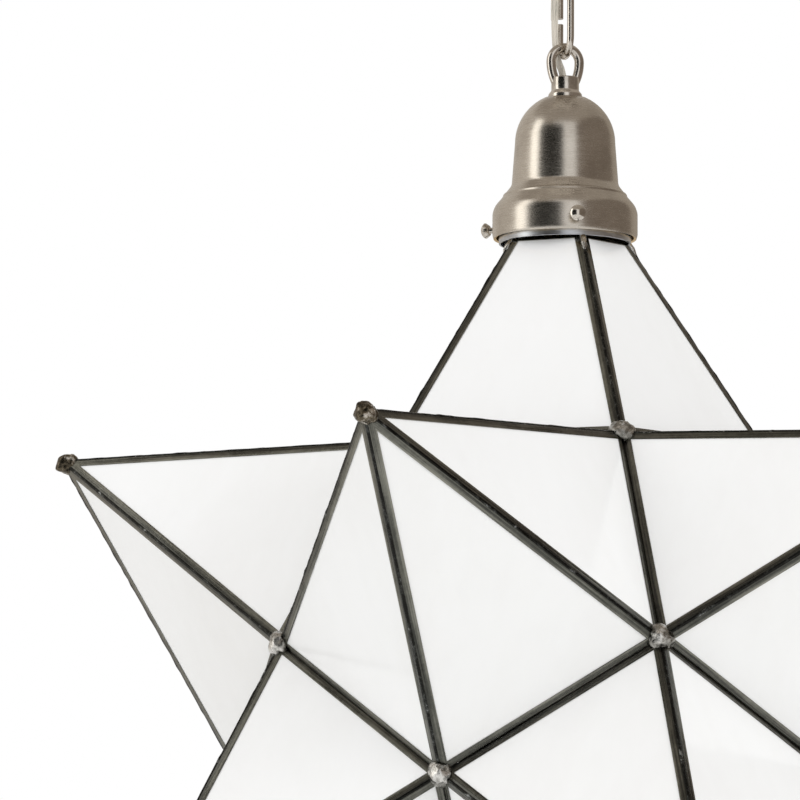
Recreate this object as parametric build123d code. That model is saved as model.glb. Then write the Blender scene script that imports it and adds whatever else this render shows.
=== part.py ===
from build123d import *
import math
import os
from itertools import combinations

# A moravian star pendant: a twelve-pointed star of opal glass in soldered channel frames, held by
# three thumbscrews in a bell holder that hangs from a short chain below a ceiling canopy.
# Millimetres, +Z up. The origin is on the hanging axis, in the ceiling plane: the top face of the
# crossbar. The side of the lamp that faces the room is -Y.

os.makedirs("parts", exist_ok=True)

# ---------------------------------------------------------------- driving dimensions
# star
STAR_TIP_RADIUS = 245.0  # star centre to the tip of a point
INNER_CORNER_RADIUS = 142.3  # star centre to a corner where three points meet
STAR_TURN = 15.7  # turn of the star about the hanging axis, degrees
GLASS_THICKNESS = 2.4
CAME_FACE = 2.9  # width of the channel that shows on the glass
CAME_WALL = 0.4  # sheet of the channel's two legs
CAME_WEB = 0.5  # sheet across the glass edge
GLASS_PLAY = 0.05  # gap between the glass and the channel
SEAM_PLAY = 0.04  # gap between two neighbouring channels
RIDGE_SHOULDER = 0.8  # how far a channel's rounded shoulder stands back from a ridge
TIP_SOLDER_RADIUS = 4.0
TIP_SOLDER_DEPTH = 2.6  # ball centre below the tip
CORNER_SOLDER_RADIUS = 6.0
CORNER_SOLDER_DEPTH = 1.5  # lump centre below the corner
NECK_SOLDER_RADIUS = 3.2
NECK_SOLDER_DROP = 1.0  # lump centre below the foot of the collar

# neck collar on the top point
COLLAR_RADIUS = 28.575  # 2-1/4 in fitter
COLLAR_WALL = 0.8
COLLAR_HEIGHT = 13.2
COLLAR_BEAD = 1.0  # how far the bead stands out
COLLAR_BEAD_HEIGHT = 1.6
COLLAR_OVERLAP = 1.5  # how far the cut top point reaches up into the collar

# bell holder
BELL_WALL = 1.2
COLLAR_PLAY = 0.575  # radial, between the collar's bead and the rim
RIM_RADIUS = COLLAR_RADIUS + COLLAR_BEAD + COLLAR_PLAY + BELL_WALL
RIM_HEIGHT = 12.9  # rim edge to the corner of the shoulder
RIM_ROUND = 8.0
WAIST_RADIUS = 23.1
WAIST_HEIGHT = 23.2  # rim edge to the hollow under the body
WAIST_ROUND = 4.0
DOME_RADIUS = 21.7
DOME_BASE_HEIGHT = 42.0  # rim edge to the widest place of the dome
BELL_TOP_RADIUS = 9.6  # flat seat under the loop
SLOPE_SHARE = 0.5  # how far a wall drops at its sloping corners, as a share of its thickness
RIM_OVER_COLLAR = 2.2  # rim edge above the foot of the collar
HOLE_PLAY = 0.3  # radial, round the lamp pipe in sheet metal

# thumbscrews
SCREW_COUNT = 3
SCREW_TURN = 8.5  # the first one, from the room side, degrees
SCREW_HEIGHT = 5.8  # above the rim edge
SCREW_RADIUS = 1.3
SCREW_PLAY = 0.05  # radial, in the rim's thread
SCREW_TIP_GAP = 0.06  # screw tip to the collar
SCREW_REACH = 6.6  # tip to the underside of the head
SCREW_HEAD_RADIUS = 3.5
SCREW_HEAD_FOOT_RADIUS = 2.2
SCREW_HEAD_THICKNESS = 3.8
SCREW_DOME_HEIGHT = 1.9

# lamp pipe, 1/8 IP, and its nuts
PIPE_RADIUS = 5.1
PIPE_BORE_RADIUS = 3.5
THREAD_PLAY = 0.05  # radial
NUT_ACROSS_FLATS = 14.0
NUT_THICKNESS = 3.0

# cast loops
LOOP_WIRE = 4.1  # section of the ring
EYE_HALF_WIDTH = 4.3
EYE_LENGTH = 11.2
LOOP_LEG_BEND = 20.0  # radius of the ring's flanks
LOOP_LEG_SINK = 2.5  # how far the ring is cast into its neck
LOOP_NECK_RADIUS = 6.0
LOOP_NECK_LENGTH = 5.9
LOOP_FLANGE_RADIUS = 7.3
LOOP_FLANGE_HEIGHT = 3.5
LOOP_FLANGE_LIP = 1.9
LOOP_HOLLOW = 1.2
WIRE_HOLE_RADIUS = 3.0
WIRE_HOLE_LENGTH = 3.0  # between the eye and the threaded bore
LOOP_TURN = 17.0  # plane of the holder's loop, from the room side, degrees

# chain
LINK_COUNT = 4
LINK_WIRE = 3.0
LINK_INNER_LENGTH = 30.5
LINK_INNER_WIDTH = 13.0
LINK_BUTT_GAP = 2.3
HANG_PLAY = 0.2  # between two pieces that hang in each other

# ceiling fitting
SLOT_SPACING = 88.9
SLOT_LENGTH = 11.0
SLOT_WIDTH = 4.8
CROSSBAR_END = 2.55  # metal past the end of a slot
CROSSBAR_LENGTH = SLOT_SPACING + SLOT_LENGTH + 2 * CROSSBAR_END
CROSSBAR_WIDTH = 16.0
CROSSBAR_THICKNESS = 2.5
EARTH_SCREW_PLACE = 25.0  # from the middle of the crossbar
EARTH_SCREW_RADIUS = 2.35
EARTH_SCREW_LENGTH = 9.0
EARTH_HEAD_RADIUS = 4.4
EARTH_HEAD_HEIGHT = 2.6
HANGER_STAND = 4.0  # lamp pipe above the crossbar
CANOPY_RADIUS = 63.5
CANOPY_DEPTH = 25.0
CANOPY_WALL = 1.0
CANOPY_SKIRT = 9.0  # height of the upright skirt to its corner
CANOPY_SKIRT_ROUND = 7.0
CANOPY_FLAT_RADIUS = 24.0  # corner between the cone and the flat middle
CANOPY_FLAT_ROUND = 12.0
BASE_RADIUS = 12.7  # threaded base of the ceiling loop, 1 in
BASE_LENGTH = 16.0
BASE_CHAMFER = 0.8
BASE_NECK_LENGTH = 4.0
PIPE_ENGAGEMENT = 7.0  # lamp pipe in a threaded bore
NUT_RING_RADIUS = 16.5
NUT_RING_HEIGHT = 7.0
NUT_RING_FLANGE = 2.0  # its wider foot against the canopy
NUT_RING_FLANGE_RADIUS = 18.5
NUT_RING_CHAMFER = 1.2
THREAD_RUN_OUT = 2.0  # thread left below the ring nut

# lamp socket and bulb
SOCKET_RADIUS = 18.0
SOCKET_LENGTH = 39.0  # rim to the shoulder
SOCKET_CAP_HEIGHT = 10.0
SOCKET_HUB_RADIUS = 8.0
SOCKET_CAP_RADIUS = 11.0
SOCKET_BORE_RADIUS = 14.2
SOCKET_BORE_DEPTH = 31.0
SHELL_WALL = 0.4
SHELL_PLAY = 0.1
SHELL_LENGTH = 22.0
SHELL_RECESS = 1.5  # shell above the socket's rim
TERMINAL_RADIUS = 2.6
TERMINAL_HEIGHT = 1.8
TERMINAL_SHANK_RADIUS = 1.5
TERMINAL_SHANK_LENGTH = 3.0
TERMINAL_PLACE = 33.0  # above the socket's rim
CONTACT_WIDTH = 6.0
CONTACT_THICKNESS = 0.6
CONTACT_GAP = 0.1  # between the two contacts
BULB_BASE_RADIUS = 13.2  # E26
BULB_BASE_LENGTH = 22.0
BULB_BASE_CHAMFER = 3.0
BULB_BASE_CROWN = 6.0  # solid height of the base above the envelope
BULB_NECK_RADIUS = 12.9
BULB_GLASS_RADIUS = 15.9  # T10
BULB_LENGTH = 140.0
BULB_TIP_RADIUS = 4.8
BULB_TIP_HEIGHT = 3.0
BULB_GLASS_WALL = 0.9
BULB_NECK_PLAY = 0.1
BULB_SHOULDER = 10.0  # height over which the envelope draws in
BULB_NECK_DEPTH = 10.0  # envelope inside the base

# lamp cord
CORD_RADIUS = 1.5
CORD_ARC_SHARE = 0.45  # share of the shorter run that an arc takes
CORD_ASIDE = 3.8  # cord beside the links that stand across the holder's loop
CORD_OFF = 4.4  # cord behind or before the links that stand in that loop's plane
CORD_BEND_ABOVE = 9.5  # bend below the ceiling loop's eye
CORD_CROSSING = 13.0  # from the middle of the third link to the bends of the crossing
CORD_BEND_BELOW = 10.5  # bend above the holder's loop

# facets: sides of turned pieces and wires, and chords of their bends
BELL_SIDES = 45
BULB_SIDES = 32
LOOP_BODY_SIDES = 32
LOOP_SIDES = 12
LOOP_FLANK_CHORDS = 3
LOOP_CROWN_CHORDS = 9
WIRE_SIDES = 10
LINK_CHORDS = 10
SCREW_SIDES = 14
PIPE_SIDES = 20
SOLDER_SIDES = 8

# ---------------------------------------------------------------- heights on the hanging axis
LOOP_CENTRE_HALF = EYE_HALF_WIDTH + LOOP_WIRE / 2  # centre of the ring's flank from the axis
canopy_face_z = -CANOPY_DEPTH
base_foot_z = canopy_face_z - NUT_RING_HEIGHT - THREAD_RUN_OUT
base_top_z = base_foot_z + BASE_LENGTH
ceiling_eye_z = base_foot_z - BASE_NECK_LENGTH  # upper end of the ceiling loop's eye
chain_top_z = ceiling_eye_z - EYE_LENGTH  # where the first link rests
LINK_RADIUS = (LINK_INNER_WIDTH + LINK_WIRE) / 2  # centre of the wire in the link's bends
LINK_LENGTH = LINK_INNER_LENGTH + LINK_WIRE  # between the wire's centres, end to end
LINK_PITCH = LINK_INNER_LENGTH - HANG_PLAY
first_link_z = chain_top_z + HANG_PLAY + LINK_WIRE / 2 - LINK_LENGTH / 2
link_zs = [first_link_z - k * LINK_PITCH for k in range(LINK_COUNT)]
ceiling_loop_turn = LOOP_TURN + 90 * (LINK_COUNT + 1)  # each piece stands across the one it hangs in
chain_foot_z = link_zs[-1] - LINK_LENGTH / 2 + LINK_WIRE / 2 + HANG_PLAY
# the upper end of the holder loop's eye hangs on the last link
holder_eye_z = chain_foot_z - EYE_LENGTH
bell_top_z = holder_eye_z - LOOP_NECK_LENGTH - LOOP_FLANGE_HEIGHT
BELL_HEIGHT = DOME_BASE_HEIGHT + math.sqrt(DOME_RADIUS**2 - BELL_TOP_RADIUS**2)
rim_z = bell_top_z - BELL_HEIGHT
collar_foot_z = rim_z - RIM_OVER_COLLAR


TOP = (Align.CENTER, Align.CENTER, Align.MAX)  # a solid that hangs from its place


# ---------------------------------------------------------------- many-sided forms
# Turned and bent pieces are many-sided, so that a small piece keeps few facets.
def on_circle(radius, turn, height):
    return Vector(radius * math.cos(turn), radius * math.sin(turn), height)


def arc_points(centre, radius, start, end, chords):
    """Points of an arc in a half section; the angles are in degrees, 0 outwards and 90 up."""
    points = []
    for k in range(chords + 1):
        t = math.radians(start + (end - start) * k / chords)
        points.append((centre[0] + radius * math.cos(t), centre[1] + radius * math.sin(t)))
    return points


def rounded(before, corner, after, radius, chords):
    """Points of the fillet at the corner of a half section, from the first side to the second."""
    (ax, ay), (bx, by) = before, after
    u = Vector(ax - corner[0], ay - corner[1], 0).normalized()
    v = Vector(bx - corner[0], by - corner[1], 0).normalized()
    half = math.acos(u.dot(v)) / 2
    centre = (u + v).normalized() * (radius / math.sin(half)) + Vector(*corner, 0)
    foot = u * (radius / math.tan(half)) + Vector(*corner, 0) - centre
    swept = 180 - 2 * math.degrees(half)
    if foot.X * v.Y < foot.Y * v.X:
        swept = -swept
    start = math.degrees(math.atan2(foot.Y, foot.X))
    return arc_points((centre.X, centre.Y), radius, start, start + swept, chords)


def turned(outline, sides):
    """A many-sided solid about Z. The outline starts and ends on the axis, or else closes as a ring."""
    turns = [2 * math.pi * k / sides for k in range(sides + 1)]
    if outline[0][0] > 0:
        outline = outline + outline[:1]
    faces = []
    for (r0, z0), (r1, z1) in zip(outline, outline[1:]):
        if z0 == z1 and 0 in (r0, r1):
            disc = [on_circle(max(r0, r1), t, z0) for t in turns[:-1]]
            faces.append(Face(Wire.make_polygon(disc, close=True)))
            continue
        for a, b in zip(turns, turns[1:]):
            low = [on_circle(r0, t, z0) for t in ((a, b) if r0 else (a,))]
            high = [on_circle(r1, t, z1) for t in ((b, a) if r1 else (a,))]
            faces.append(Face(Wire.make_polygon(low + high, close=True)))
    return Solid(Shell(faces))


def rod(radius, low, high, sides):
    return turned([(0, low), (radius, low), (radius, high), (0, high)], sides)


def bent_wire(places, radius, sides):
    """A many-sided wire in the XZ plane; places are its points and ways, in degrees from X."""
    rings = []
    for x, z, way in places:
        t = math.radians(way)
        across, up = Vector(-math.sin(t), 0, math.cos(t)), Vector(0, 1, 0)
        corners = [on_circle(radius, 2 * math.pi * k / sides, 0) for k in range(sides)]
        rings.append([Vector(x, 0, z) + across * c.X + up * c.Y for c in corners])
    faces = [Face(Wire.make_polygon(ring, close=True)) for ring in (rings[0], rings[-1])]
    for a, b in zip(rings, rings[1:]):
        for k in range(sides):
            faces.append(Face(Wire.make_polygon([a[k - 1], a[k], b[k], b[k - 1]], close=True)))
    return Solid(Shell(faces))


# ---------------------------------------------------------------- star geometry
TIP_RING_ELEVATION = math.degrees(math.atan(0.5))  # of the ten points in two rings


def direction(elevation, azimuth):
    """A unit vector; azimuth 0 faces the room side, -Y, and grows to the right."""
    e, a = math.radians(elevation), math.radians(azimuth)
    return Vector(math.cos(e) * math.sin(a), -math.cos(e) * math.cos(a), math.sin(e))


def star_points():
    """Name and direction of each of the twelve points."""
    points = {"top_point": Vector(0, 0, 1)}
    for k in range(5):
        points[f"upper_point_{k + 1}"] = direction(TIP_RING_ELEVATION, STAR_TURN + 36 + 72 * k)
    for k in range(5):
        points[f"lower_point_{k + 1}"] = direction(-TIP_RING_ELEVATION, STAR_TURN + 72 * k)
    points["bottom_point"] = Vector(0, 0, -1)
    return points


def star_corners(tips):
    """Direction of each of the twenty corners, one between every three neighbouring points."""
    neighbours = math.cos(math.radians(64))
    corners = []
    for a, b, c in combinations(tips, 3):
        if min(a.dot(b), b.dot(c), c.dot(a)) > neighbours:
            corners.append((a + b + c).normalized())
    return corners


TIPS = star_points()
CORNERS = star_corners(list(TIPS.values()))
CORNER_ANGLE = math.acos(max(Vector(0, 0, 1).dot(c) for c in CORNERS))
CORNER_ACROSS = INNER_CORNER_RADIUS * math.sin(CORNER_ANGLE)  # corner from the point's own axis
CORNER_ALONG = INNER_CORNER_RADIUS * math.cos(CORNER_ANGLE)  # corner above the star's centre
POINT_RISE = STAR_TIP_RADIUS - CORNER_ALONG
PANEL_FOOT = 2 * CORNER_ACROSS * math.sin(math.radians(36))  # width of a panel at its foot
FOOT_ACROSS = CORNER_ACROSS * math.cos(math.radians(36))
PANEL_SLOPE = math.hypot(FOOT_ACROSS, POINT_RISE)  # tip to the middle of the foot
RIDGE_SPREAD = math.acos(  # angle between the normals of two panels beside a ridge
    (POINT_RISE / PANEL_SLOPE) ** 2 * math.cos(math.radians(72)) + (FOOT_ACROSS / PANEL_SLOPE) ** 2
)
CAME_THICKNESS = GLASS_THICKNESS + 2 * (GLASS_PLAY + CAME_WALL)

# the top point's panels stop where the collar has room for them
COLLAR_INNER_RADIUS = COLLAR_RADIUS - COLLAR_WALL
top_spread = CORNER_ACROSS / POINT_RISE  # ridge's distance from the axis for each mm below the tip
collar_drop = COLLAR_INNER_RADIUS / top_spread  # tip to the foot of the collar
star_z = collar_foot_z + collar_drop - STAR_TIP_RADIUS
STAR_CENTRE = Vector(0, 0, star_z)
TOP_CUT = (collar_drop - COLLAR_OVERLAP) * PANEL_SLOPE / POINT_RISE  # tip to cut, down the slope


def point_plane(tip):
    """Frame of one point: its axis is Z, and X turns to one of its corners."""
    corner = max(CORNERS, key=lambda c: round(c.dot(tip), 6))
    return Plane(origin=STAR_CENTRE, x_dir=corner - tip * corner.dot(tip), z_dir=tip)


def inset(corners, widths):
    """Moves each side of a convex outline inwards by its own width."""
    count = len(corners)
    sides = []
    for k in range(count):
        (x0, y0), (x1, y1) = corners[k], corners[(k + 1) % count]
        length = math.hypot(x1 - x0, y1 - y0)
        nx, ny = -(y1 - y0) / length, (x1 - x0) / length
        sides.append((nx, ny, nx * x0 + ny * y0 + widths[k]))
    moved = []
    for k in range(count):
        (a, b, c), (d, e, f) = sides[k - 1], sides[k]
        det = a * e - b * d
        moved.append(((c * e - b * f) / det, (a * f - c * d) / det))
    return moved


def slab(outline, depth, thickness):
    """A flat plate whose outer face lies at a depth below the panel's face."""
    face = make_face(Polyline(*outline, close=True))
    return Pos(0, 0, -depth - thickness) * extrude(face, thickness, dir=(0, 0, 1))


def panel(cut=0.0):
    """One glass panel and its channel frame, in the point's frame; cut is for the top point."""
    half = PANEL_FOOT / 2
    if cut:
        top = half * cut / PANEL_SLOPE
        corners = [(-half, -PANEL_SLOPE), (half, -PANEL_SLOPE), (top, -cut), (-top, -cut)]
    else:
        corners = [(-half, -PANEL_SLOPE), (half, -PANEL_SLOPE), (0, 0)]

    def sides(valley, ridge, end):
        return [valley, ridge, end, ridge] if cut else [valley, ridge, ridge]

    play = SEAM_PLAY / 2
    slot_depth = CAME_WALL
    slot_thickness = GLASS_THICKNESS + 2 * GLASS_PLAY
    # the channel leans over with the ridge's mitre, so its web is furthest in at the back
    slot_ridge = (slot_depth + slot_thickness) * math.tan(RIDGE_SPREAD / 2) + CAME_WEB
    outer = inset(corners, sides(play, RIDGE_SHOULDER, 0))
    opening = inset(corners, sides(play + CAME_FACE, RIDGE_SHOULDER + CAME_FACE, CAME_FACE))
    slot = inset(corners, sides(play + CAME_WEB, slot_ridge, CAME_WEB))
    glass = inset(slot, sides(GLASS_PLAY, GLASS_PLAY, GLASS_PLAY))

    outward = Vector(POINT_RISE, 0, FOOT_ACROSS)
    along = Vector(0, 1, 0)
    face_plane = Plane(origin=(0, 0, STAR_TIP_RADIUS), x_dir=along, z_dir=outward)
    came = slab(outer, 0, CAME_THICKNESS) - slab(opening, 0, CAME_THICKNESS)
    came -= slab(slot, slot_depth, slot_thickness)
    came = face_plane.location * came
    pane = face_plane.location * slab(glass, slot_depth + GLASS_PLAY, GLASS_THICKNESS)

    # the mitres at the two ridges lie in planes through the point's axis
    reach = 2 * CORNER_ACROSS
    apex = play / math.sin(math.radians(36))
    side = Vector(reach * math.cos(math.radians(36)), reach * math.sin(math.radians(36)))
    wedge = Polyline((apex, 0), (apex + side.X, -side.Y), (apex + side.X, side.Y), close=True)
    came &= extrude(make_face(wedge), STAR_TIP_RADIUS, dir=(0, 0, 1))
    return pane, came


def ring_of_five(piece):
    return [Rot(0, 0, 36 + 72 * k) * piece for k in range(5)]


def point_core():
    """The solid between the star's centre and one point's five outer faces, in the point's frame."""
    turns = [math.radians(72 * k) for k in range(6)]
    ring = [Vector(CORNER_ACROSS * math.cos(t), CORNER_ACROSS * math.sin(t), CORNER_ALONG) for t in turns]
    peak, heart = Vector(0, 0, STAR_TIP_RADIUS), Vector(0, 0, 0)
    faces = []
    for a, b in zip(ring, ring[1:]):
        faces.append(Face(Wire.make_polygon([a, b, peak], close=True)))
        faces.append(Face(Wire.make_polygon([b, a, heart], close=True)))
    return Solid(Shell(faces))


def lump_of(radius):
    """A rough ball of solder, its flat-topped facets about Z."""
    return turned([(0, -radius)] + arc_points((0, 0), radius, -60, 60, 4) + [(0, radius)], SOLDER_SIDES)


def tip_solder():
    """A ball of solder on each tip but the top one, which the holder covers."""
    ball = Pos(0, 0, STAR_TIP_RADIUS - TIP_SOLDER_DEPTH) * lump_of(TIP_SOLDER_RADIUS) - point_core()
    return [point_plane(tip).location * ball for name, tip in TIPS.items() if name != "top_point"]


def corner_plane(corner):
    """Frame of one corner: Z runs outwards through it, and X turns to one of its three points."""
    tip = max(TIPS.values(), key=lambda t: round(t.dot(corner), 6))
    return Plane(origin=STAR_CENTRE, x_dir=tip - corner * tip.dot(corner), z_dir=corner)


def corner_solder():
    """A lump of solder in each corner, over the six channel ends that meet there."""
    lump = Pos(0, 0, INNER_CORNER_RADIUS - CORNER_SOLDER_DEPTH) * lump_of(CORNER_SOLDER_RADIUS)
    frame = corner_plane(CORNERS[0])
    for tip in TIPS.values():
        if tip.dot(CORNERS[0]) > math.cos(CORNER_ANGLE) - 0.01:
            lump -= frame.location.inverse() * (point_plane(tip).location * point_core())
    return [corner_plane(corner).location * lump for corner in CORNERS]


# ---------------------------------------------------------------- neck collar
def shade_collar():
    """Tinned ring on the top point, with a bead for the thumbscrews to hold under."""
    bead = COLLAR_RADIUS + COLLAR_BEAD
    bead_foot = COLLAR_HEIGHT - COLLAR_BEAD_HEIGHT
    outline = [(COLLAR_INNER_RADIUS, 0), (COLLAR_RADIUS, 0), (COLLAR_RADIUS, bead_foot)]
    outline += [(bead, bead_foot), (bead, COLLAR_HEIGHT), (COLLAR_INNER_RADIUS, COLLAR_HEIGHT)]
    return Pos(0, 0, collar_foot_z) * turned(outline, BELL_SIDES)


def collar_solder(collar):
    """Solder between the foot of the collar and the five ridges of the top point."""
    core = point_plane(TIPS["top_point"]).location * point_core()
    ridge = STAR_TURN - 90
    lump = Pos(COLLAR_RADIUS, 0, collar_foot_z - NECK_SOLDER_DROP) * lump_of(NECK_SOLDER_RADIUS)
    lump -= Rot(0, 0, -ridge) * core
    lump -= Rot(0, 0, -ridge) * collar
    lump = max(lump.solids(), key=lambda s: s.volume)
    return [Rot(0, 0, ridge + 72 * k) * lump for k in range(5)]


# ---------------------------------------------------------------- bell holder
def bell_outline(wall, round_chords, dome_chords):
    """Half section of the bell from its mouth to its top; wall 0 is the outside."""
    dome = DOME_RADIUS - wall
    top_radius = BELL_TOP_RADIUS - wall
    top_angle = math.degrees(math.acos(top_radius / dome))
    mouth = (RIM_RADIUS - wall, 0)
    shoulder = (RIM_RADIUS - wall, RIM_HEIGHT - wall * SLOPE_SHARE)
    waist = (WAIST_RADIUS - wall, WAIST_HEIGHT - wall * SLOPE_SHARE)
    dome_foot = (dome, DOME_BASE_HEIGHT)
    outline = [(0, 0), mouth]
    outline += rounded(mouth, shoulder, waist, RIM_ROUND - wall, round_chords)
    outline += rounded(shoulder, waist, dome_foot, WAIST_ROUND + wall, round_chords)
    outline += arc_points((0, DOME_BASE_HEIGHT), dome, 0, top_angle, dome_chords)
    return outline + [(0, outline[-1][1])]


def screw_direction(k):
    return direction(0, SCREW_TURN + 360 / SCREW_COUNT * k)


def screw_plane(k, radius):
    """Frame of one thumbscrew: Z runs outwards along it."""
    out = screw_direction(k)
    return Plane(origin=out * radius + Vector(0, 0, rim_z + SCREW_HEIGHT), x_dir=(0, 0, 1), z_dir=out)


def bell_holder():
    bell = turned(bell_outline(0, 3, 6), BELL_SIDES)
    bell -= turned(bell_outline(BELL_WALL, 2, 4), BELL_SIDES)
    bell = Pos(0, 0, rim_z) * bell
    bell -= rod(PIPE_RADIUS + HOLE_PLAY, bell_top_z - 2 * BELL_WALL, bell_top_z + BELL_WALL, PIPE_SIDES)
    tap = rod(SCREW_RADIUS + SCREW_PLAY, -2 * BELL_WALL, 2 * BELL_WALL, SCREW_SIDES)
    for k in range(SCREW_COUNT):
        bell -= screw_plane(k, RIM_RADIUS).location * tap
    return bell


# ---------------------------------------------------------------- cast loops
def loop_ring():
    """The ring of a cast loop in the XZ plane, its eye standing on z = 0."""
    crown_z = EYE_LENGTH + LOOP_WIRE / 2 - LOOP_CENTRE_HALF
    turn = math.degrees(math.asin((crown_z + LOOP_LEG_SINK) / LOOP_LEG_BEND))
    flank_centre = (LOOP_CENTRE_HALF - LOOP_LEG_BEND, crown_z)
    flank = arc_points(flank_centre, LOOP_LEG_BEND, -turn, 0, LOOP_FLANK_CHORDS)
    right = [(x, z, 90 - turn * (1 - k / LOOP_FLANK_CHORDS)) for k, (x, z) in enumerate(flank)]
    step = 180 / LOOP_CROWN_CHORDS
    crown = arc_points((0, crown_z), LOOP_CENTRE_HALF, 0, 180, LOOP_CROWN_CHORDS)
    over = [(x, z, 90 + step * k) for k, (x, z) in enumerate(crown)]
    left = [(-x, z, 360 - way) for x, z, way in reversed(right)]
    return bent_wire(right + over[1:-1] + left, LOOP_WIRE / 2, LOOP_SIDES)


def holder_loop():
    """Loop with a flared flange, tapped from below for the lamp pipe."""
    neck = LOOP_NECK_LENGTH
    foot = neck + LOOP_FLANGE_HEIGHT
    hollow, lip = (LOOP_NECK_RADIUS, -neck), (LOOP_FLANGE_RADIUS, -foot + LOOP_FLANGE_LIP)
    outline = [(0, 0), (LOOP_NECK_RADIUS, 0)]
    outline += rounded((LOOP_NECK_RADIUS, 0), hollow, lip, LOOP_HOLLOW, 2)
    outline += [lip, (LOOP_FLANGE_RADIUS, -foot), (0, -foot)]
    body = turned(outline, LOOP_BODY_SIDES)
    loop = body + loop_ring()
    loop -= rod(WIRE_HOLE_RADIUS, -WIRE_HOLE_LENGTH - 1, 1, PIPE_SIDES)
    loop -= rod(PIPE_RADIUS + THREAD_PLAY, -foot - 1, -WIRE_HOLE_LENGTH, PIPE_SIDES)
    return Pos(0, 0, holder_eye_z) * Rot(0, 0, LOOP_TURN) * loop


def canopy_loop():
    """Ceiling loop, eye down, with the threaded base that carries the ring nut."""
    depth = BASE_NECK_LENGTH + BASE_LENGTH
    lip = BASE_RADIUS - BASE_CHAMFER
    outline = [(0, 0), (LOOP_NECK_RADIUS, 0), (LOOP_NECK_RADIUS, -BASE_NECK_LENGTH)]
    outline += [(lip, -BASE_NECK_LENGTH), (BASE_RADIUS, -BASE_NECK_LENGTH - BASE_CHAMFER)]
    outline += [(BASE_RADIUS, BASE_CHAMFER - depth), (lip, -depth), (0, -depth)]
    loop = turned(outline, LOOP_BODY_SIDES) + loop_ring()
    loop -= rod(WIRE_HOLE_RADIUS, -depth, 1, PIPE_SIDES)
    loop -= rod(PIPE_RADIUS + THREAD_PLAY, -depth - 1, PIPE_ENGAGEMENT - depth, PIPE_SIDES)
    return Pos(0, 0, ceiling_eye_z) * Rot(0, 0, ceiling_loop_turn) * Rot(180, 0, 0) * loop


# ---------------------------------------------------------------- chain
def chain_link():
    """One oval link in the XZ plane, its wire butted with a gap in the +X leg."""
    leg = LINK_LENGTH / 2 - LINK_RADIUS
    half = LINK_BUTT_GAP / 2
    step = 180 / LINK_CHORDS
    places = [(LINK_RADIUS, half, 90)]
    for centre_z, start in ((leg, 0), (-leg, 180)):
        bend = arc_points((0, centre_z), LINK_RADIUS, start, start + 180, LINK_CHORDS)
        places += [(x, z, 90 + start + step * k) for k, (x, z) in enumerate(bend)]
    places.append((LINK_RADIUS, -half, 90))
    return bent_wire(places, LINK_WIRE / 2, WIRE_SIDES)


def link_turn(k):
    """Plane of link k: the last one stands across the holder's loop, and they alternate."""
    return LOOP_TURN + 90 * (LINK_COUNT - k)


# ---------------------------------------------------------------- lamp cord
def cord_route():
    """The cord's points, in the frame of the holder's loop, each list one stretch of cord."""
    side, off = -CORD_ASIDE, CORD_OFF
    z1, z2, z3, z4 = link_zs
    return [
        [
            (0, 0, HANGER_STAND),
            (0, 0, ceiling_eye_z + 1),
            (side, -off, ceiling_eye_z - CORD_BEND_ABOVE),
            (side, -off, z1),
        ],
        [(side, -off, z1), (side, -off, z2)],
        [(side, -off, z2), (side, -off, z3 + CORD_CROSSING), (side, 0, z3)],
        [(side, 0, z3), (side, off, z3 - CORD_CROSSING), (side, off, z4)],
        [
            (side, off, z4),
            (side, off, holder_eye_z + CORD_BEND_BELOW),
            (0, 0, holder_eye_z - 0.5),
            (0, 0, cord_foot_z),
        ],
    ]


def cord_stretch(name, points):
    """A tube of straight runs and tangent arcs."""
    route = [Vector(*p) for p in points]
    radii = []
    for a, b, c in zip(route, route[1:], route[2:]):
        turn = math.radians((b - a).get_angle(c - b))
        radii.append(CORD_ARC_SHARE * min((b - a).length, (c - b).length) / math.tan(turn / 2))
    path = FilletPolyline(*route, radius=radii) if radii else Line(*route)
    start = Plane(origin=path @ 0, z_dir=path % 0)
    section = start * RegularPolygon(CORD_RADIUS, WIRE_SIDES)
    tube = sweep(section, path)
    expected = section.area * path.length
    print(name, "radii", [round(r, 1) for r in radii], "length", round(path.length, 1),
          "volume ratio", round(tube.volume / expected, 4))
    return Rot(0, 0, LOOP_TURN) * tube


# ---------------------------------------------------------------- lamp pipe, nuts and crossbar
def lamp_pipe(top, foot):
    outline = [(PIPE_BORE_RADIUS, foot), (PIPE_RADIUS, foot), (PIPE_RADIUS, top), (PIPE_BORE_RADIUS, top)]
    return turned(outline, PIPE_SIDES)


def locknut(top):
    nut = extrude(RegularPolygon(NUT_ACROSS_FLATS / 2, 6, major_radius=False), -NUT_THICKNESS)
    nut -= rod(PIPE_RADIUS + THREAD_PLAY, -NUT_THICKNESS - 1, 1, PIPE_SIDES)
    return Pos(0, 0, top) * nut


def crossbar():
    bar = Box(CROSSBAR_LENGTH, CROSSBAR_WIDTH, CROSSBAR_THICKNESS, align=TOP)
    bar = fillet(bar.edges().filter_by(Axis.Z), CROSSBAR_WIDTH / 4)
    bar -= rod(PIPE_RADIUS + THREAD_PLAY, -CROSSBAR_THICKNESS - 1, 1, PIPE_SIDES)
    slot = SlotOverall(SLOT_LENGTH, SLOT_WIDTH)
    for side in (-1, 1):
        cutter = extrude(slot, CROSSBAR_THICKNESS, both=True)
        bar -= Pos(side * SLOT_SPACING / 2, 0, -CROSSBAR_THICKNESS / 2) * cutter
    tap = rod(EARTH_SCREW_RADIUS + THREAD_PLAY, -CROSSBAR_THICKNESS - 1, 1, SCREW_SIDES)
    bar -= Pos(EARTH_SCREW_PLACE, 0, 0) * tap
    return bar


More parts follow.
